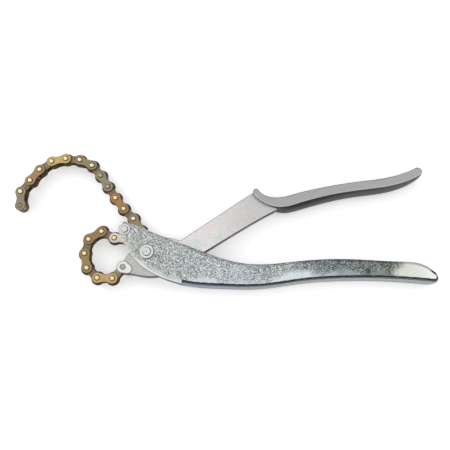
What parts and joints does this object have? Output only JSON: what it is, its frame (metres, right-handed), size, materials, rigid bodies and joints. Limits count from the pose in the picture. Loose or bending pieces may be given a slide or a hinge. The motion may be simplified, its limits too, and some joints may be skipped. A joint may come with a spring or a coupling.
{
  "type": "tubing cutter",
  "caption": "Chain-type cutter for tube and exhaust pipe: a channel handle, a pivoted lever with a forked jaw, and a linked chain of cutter wheels that loops round the tube",
  "frame": {"origin": "on the lever's pivot axis, in the plane that the tool lies on", "axes": "+X towards the ends of the handles, +Y towards the lever's side, +Z away from the surface it lies on, along the pivot"},
  "size_m": [0.3654, 0.1228, 0.0191],
  "materials": {
    "zinc_sheet": "bright zinc plate with a mottled spangle",
    "lever_steel": "forged steel, plated and lightly brushed",
    "rivet_steel": "bright plated steel",
    "chain_plate": "yellow-chromated zinc",
    "wheel_steel": "dark hardened steel"
  },
  "bodies": {
    "head": {"outer_handle": "zinc_sheet", "pivot_rivet": "rivet_steel", "pivot_collar": "rivet_steel", "head_pin": "rivet_steel", "head_pin_ring": "rivet_steel", "chain_link_09": "chain_plate"},
    "lever": {"lever": "lever_steel", "anchor_rivet": "rivet_steel"},
    "link_01": {"chain_link_01": "chain_plate"},
    "link_02": {"chain_link_02": "chain_plate"},
    "link_03": {"chain_link_03": "chain_plate"},
    "link_04": {"chain_link_04": "chain_plate"},
    "link_05": {"chain_link_05": "chain_plate"},
    "link_06": {"chain_link_06": "chain_plate"},
    "link_07": {"chain_link_07": "chain_plate"},
    "link_08": {"chain_link_08": "chain_plate"},
    "link_10": {"chain_link_10": "chain_plate"},
    "link_11": {"chain_link_11": "chain_plate"},
    "link_12": {"chain_link_12": "chain_plate"},
    "link_13": {"chain_link_13": "chain_plate"},
    "link_14": {"chain_link_14": "chain_plate"},
    "link_15": {"chain_link_15": "chain_plate"},
    "link_16": {"chain_link_16": "chain_plate"},
    "link_17": {"chain_link_17": "chain_plate"},
    "link_18": {"chain_link_18": "chain_plate"},
    "link_19": {"chain_link_19": "chain_plate"},
    "link_20": {"chain_link_20": "chain_plate"},
    "link_21": {"chain_link_21": "chain_plate"},
    "link_22": {"chain_link_22": "chain_plate"},
    "wheel_01": {"cutter_wheel_01": "wheel_steel"},
    "wheel_02": {"cutter_wheel_02": "wheel_steel"},
    "wheel_03": {"cutter_wheel_03": "wheel_steel"},
    "wheel_04": {"cutter_wheel_04": "wheel_steel"},
    "wheel_05": {"cutter_wheel_05": "wheel_steel"},
    "wheel_06": {"cutter_wheel_06": "wheel_steel"},
    "wheel_07": {"cutter_wheel_07": "wheel_steel"},
    "wheel_08": {"cutter_wheel_08": "wheel_steel"},
    "wheel_09": {"cutter_wheel_09": "wheel_steel"},
    "wheel_10": {"cutter_wheel_10": "wheel_steel"},
    "wheel_11": {"cutter_wheel_11": "wheel_steel"},
    "wheel_12": {"cutter_wheel_12": "wheel_steel"},
    "wheel_13": {"cutter_wheel_13": "wheel_steel"},
    "wheel_14": {"cutter_wheel_14": "wheel_steel"},
    "wheel_15": {"cutter_wheel_15": "wheel_steel"},
    "wheel_16": {"cutter_wheel_16": "wheel_steel"},
    "wheel_17": {"cutter_wheel_17": "wheel_steel"},
    "wheel_18": {"cutter_wheel_18": "wheel_steel"},
    "wheel_19": {"cutter_wheel_19": "wheel_steel"},
    "wheel_20": {"cutter_wheel_20": "wheel_steel"},
    "wheel_21": {"cutter_wheel_21": "wheel_steel"}
  },
  "joints": [
    {"name": "lever_pivot", "type": "hinge", "parent": "head", "child": "lever", "pos_m": [0, 0, 0.0085], "axis": [0, 0, -1], "range_deg": [-12, 17]},
    {"name": "loop_pin_08", "type": "hinge", "parent": "head", "child": "link_08", "pos_m": [-0.01657, 0.0115, 0.0085], "axis": [0, 0, 1], "range_deg": [-6.4, 4.5]},
    {"name": "loop_pin_07", "type": "hinge", "parent": "link_08", "child": "link_07", "pos_m": [-0.02918, 0.01304, 0.0085], "axis": [0, 0, 1], "range_deg": [-6.2, 4.4]},
    {"name": "loop_pin_06", "type": "hinge", "parent": "link_07", "child": "link_06", "pos_m": [-0.04049, 0.01881, 0.0085], "axis": [0, 0, 1], "range_deg": [-5.9, 4.2]},
    {"name": "loop_pin_05", "type": "hinge", "parent": "link_06", "child": "link_05", "pos_m": [-0.05114, 0.01189, 0.0085], "axis": [0, 0, 1], "range_deg": [-3.3, 4.6]},
    {"name": "loop_pin_04", "type": "hinge", "parent": "link_05", "child": "link_04", "pos_m": [-0.05378, -0.00053, 0.0085], "axis": [0, 0, 1], "range_deg": [-6.9, 9.8]},
    {"name": "loop_pin_03", "type": "hinge", "parent": "link_04", "child": "link_03", "pos_m": [-0.05093, -0.0129, 0.0085], "axis": [0, 0, 1], "range_deg": [-2.8, 3.9]},
    {"name": "loop_pin_02", "type": "hinge", "parent": "link_03", "child": "link_02", "pos_m": [-0.04149, -0.0214, 0.0085], "axis": [0, 0, 1], "range_deg": [-3.3, 2.3]},
    {"name": "loop_pin_01", "type": "hinge", "parent": "link_02", "child": "link_01", "pos_m": [-0.0288, -0.02184, 0.0085], "axis": [0, 0, 1], "range_deg": [-2.9, 2.1]},
    {"name": "tail_pin_09", "type": "hinge", "parent": "head", "child": "link_10", "pos_m": [-0.0067, 0.01949, 0.0085], "axis": [0, 0, 1], "range_deg": [-30, 15]},
    {"name": "tail_pin_10", "type": "hinge", "parent": "link_10", "child": "link_11", "pos_m": [-0.01362, 0.03014, 0.0085], "axis": [0, 0, -1], "range_deg": [-40, 40]},
    {"name": "tail_pin_11", "type": "hinge", "parent": "link_11", "child": "link_12", "pos_m": [-0.0226, 0.03912, 0.0085], "axis": [0, 0, 1], "range_deg": [-40, 40]},
    {"name": "tail_pin_12", "type": "hinge", "parent": "link_12", "child": "link_13", "pos_m": [-0.03042, 0.04913, 0.0085], "axis": [0, 0, -1], "range_deg": [-40, 40]},
    {"name": "tail_pin_13", "type": "hinge", "parent": "link_13", "child": "link_14", "pos_m": [-0.0377, 0.05953, 0.0085], "axis": [0, 0, 1], "range_deg": [-40, 40]},
    {"name": "tail_pin_14", "type": "hinge", "parent": "link_14", "child": "link_15", "pos_m": [-0.0448, 0.07006, 0.0085], "axis": [0, 0, -1], "range_deg": [-40, 40]},
    {"name": "tail_pin_15", "type": "hinge", "parent": "link_15", "child": "link_16", "pos_m": [-0.05314, 0.07965, 0.0085], "axis": [0, 0, 1], "range_deg": [-40, 40]},
    {"name": "tail_pin_16", "type": "hinge", "parent": "link_16", "child": "link_17", "pos_m": [-0.06465, 0.08501, 0.0085], "axis": [0, 0, -1], "range_deg": [-40, 40]},
    {"name": "tail_pin_17", "type": "hinge", "parent": "link_17", "child": "link_18", "pos_m": [-0.0773, 0.08612, 0.0085], "axis": [0, 0, 1], "range_deg": [-40, 40]},
    {"name": "tail_pin_18", "type": "hinge", "parent": "link_18", "child": "link_19", "pos_m": [-0.08972, 0.08348, 0.0085], "axis": [0, 0, -1], "range_deg": [-40, 40]},
    {"name": "tail_pin_19", "type": "hinge", "parent": "link_19", "child": "link_20", "pos_m": [-0.09973, 0.07566, 0.0085], "axis": [0, 0, 1], "range_deg": [-40, 40]},
    {"name": "tail_pin_20", "type": "hinge", "parent": "link_20", "child": "link_21", "pos_m": [-0.10719, 0.06539, 0.0085], "axis": [0, 0, -1], "range_deg": [-40, 40]},
    {"name": "tail_pin_21", "type": "hinge", "parent": "link_21", "child": "link_22", "pos_m": [-0.11448, 0.05498, 0.0085], "axis": [0, 0, 1], "range_deg": [-40, 40]},
    {"name": "wheel_spin_01", "type": "hinge", "parent": "link_01", "child": "wheel_01", "pos_m": [-0.0288, -0.02184, 0.0085], "axis": [0, 0, 1], "continuous": true},
    {"name": "wheel_spin_02", "type": "hinge", "parent": "link_03", "child": "wheel_02", "pos_m": [-0.04149, -0.0214, 0.0085], "axis": [0, 0, 1], "continuous": true},
    {"name": "wheel_spin_03", "type": "hinge", "parent": "link_03", "child": "wheel_03", "pos_m": [-0.05093, -0.0129, 0.0085], "axis": [0, 0, 1], "continuous": true},
    {"name": "wheel_spin_04", "type": "hinge", "parent": "link_05", "child": "wheel_04", "pos_m": [-0.05378, -0.00053, 0.0085], "axis": [0, 0, 1], "continuous": true},
    {"name": "wheel_spin_05", "type": "hinge", "parent": "link_05", "child": "wheel_05", "pos_m": [-0.05114, 0.01189, 0.0085], "axis": [0, 0, 1], "continuous": true},
    {"name": "wheel_spin_06", "type": "hinge", "parent": "link_07", "child": "wheel_06", "pos_m": [-0.04049, 0.01881, 0.0085], "axis": [0, 0, 1], "continuous": true},
    {"name": "wheel_spin_07", "type": "hinge", "parent": "link_07", "child": "wheel_07", "pos_m": [-0.02918, 0.01304, 0.0085], "axis": [0, 0, 1], "continuous": true},
    {"name": "wheel_spin_08", "type": "hinge", "parent": "head", "child": "wheel_08", "pos_m": [-0.01657, 0.0115, 0.0085], "axis": [0, 0, 1], "continuous": true},
    {"name": "wheel_spin_09", "type": "hinge", "parent": "head", "child": "wheel_09", "pos_m": [-0.0067, 0.01949, 0.0085], "axis": [0, 0, 1], "continuous": true},
    {"name": "wheel_spin_10", "type": "hinge", "parent": "link_11", "child": "wheel_10", "pos_m": [-0.01362, 0.03014, 0.0085], "axis": [0, 0, 1], "continuous": true},
    {"name": "wheel_spin_11", "type": "hinge", "parent": "link_11", "child": "wheel_11", "pos_m": [-0.0226, 0.03912, 0.0085], "axis": [0, 0, 1], "continuous": true},
    {"name": "wheel_spin_12", "type": "hinge", "parent": "link_13", "child": "wheel_12", "pos_m": [-0.03042, 0.04913, 0.0085], "axis": [0, 0, 1], "continuous": true},
    {"name": "wheel_spin_13", "type": "hinge", "parent": "link_13", "child": "wheel_13", "pos_m": [-0.0377, 0.05953, 0.0085], "axis": [0, 0, 1], "continuous": true},
    {"name": "wheel_spin_14", "type": "hinge", "parent": "link_15", "child": "wheel_14", "pos_m": [-0.0448, 0.07006, 0.0085], "axis": [0, 0, 1], "continuous": true},
    {"name": "wheel_spin_15", "type": "hinge", "parent": "link_15", "child": "wheel_15", "pos_m": [-0.05314, 0.07965, 0.0085], "axis": [0, 0, 1], "continuous": true},
    {"name": "wheel_spin_16", "type": "hinge", "parent": "link_17", "child": "wheel_16", "pos_m": [-0.06465, 0.08501, 0.0085], "axis": [0, 0, 1], "continuous": true},
    {"name": "wheel_spin_17", "type": "hinge", "parent": "link_17", "child": "wheel_17", "pos_m": [-0.0773, 0.08612, 0.0085], "axis": [0, 0, 1], "continuous": true},
    {"name": "wheel_spin_18", "type": "hinge", "parent": "link_19", "child": "wheel_18", "pos_m": [-0.08972, 0.08348, 0.0085], "axis": [0, 0, 1], "continuous": true},
    {"name": "wheel_spin_19", "type": "hinge", "parent": "link_19", "child": "wheel_19", "pos_m": [-0.09973, 0.07566, 0.0085], "axis": [0, 0, 1], "continuous": true},
    {"name": "wheel_spin_20", "type": "hinge", "parent": "link_21", "child": "wheel_20", "pos_m": [-0.10719, 0.06539, 0.0085], "axis": [0, 0, 1], "continuous": true},
    {"name": "wheel_spin_21", "type": "hinge", "parent": "link_21", "child": "wheel_21", "pos_m": [-0.11448, 0.05498, 0.0085], "axis": [0, 0, 1], "continuous": true}
  ],
  "couplings": [
    {"joint": "loop_pin_08", "follows": "lever_pivot", "ratio": -0.3736},
    {"joint": "loop_pin_07", "follows": "lever_pivot", "ratio": -0.3642},
    {"joint": "loop_pin_06", "follows": "lever_pivot", "ratio": -0.3424},
    {"joint": "loop_pin_05", "follows": "lever_pivot", "ratio": 0.2675},
    {"joint": "loop_pin_04", "follows": "lever_pivot", "ratio": 0.574},
    {"joint": "loop_pin_03", "follows": "lever_pivot", "ratio": 0.2287},
    {"joint": "loop_pin_02", "follows": "lever_pivot", "ratio": -0.1893},
    {"joint": "loop_pin_01", "follows": "lever_pivot", "ratio": -0.1667}
  ]
}
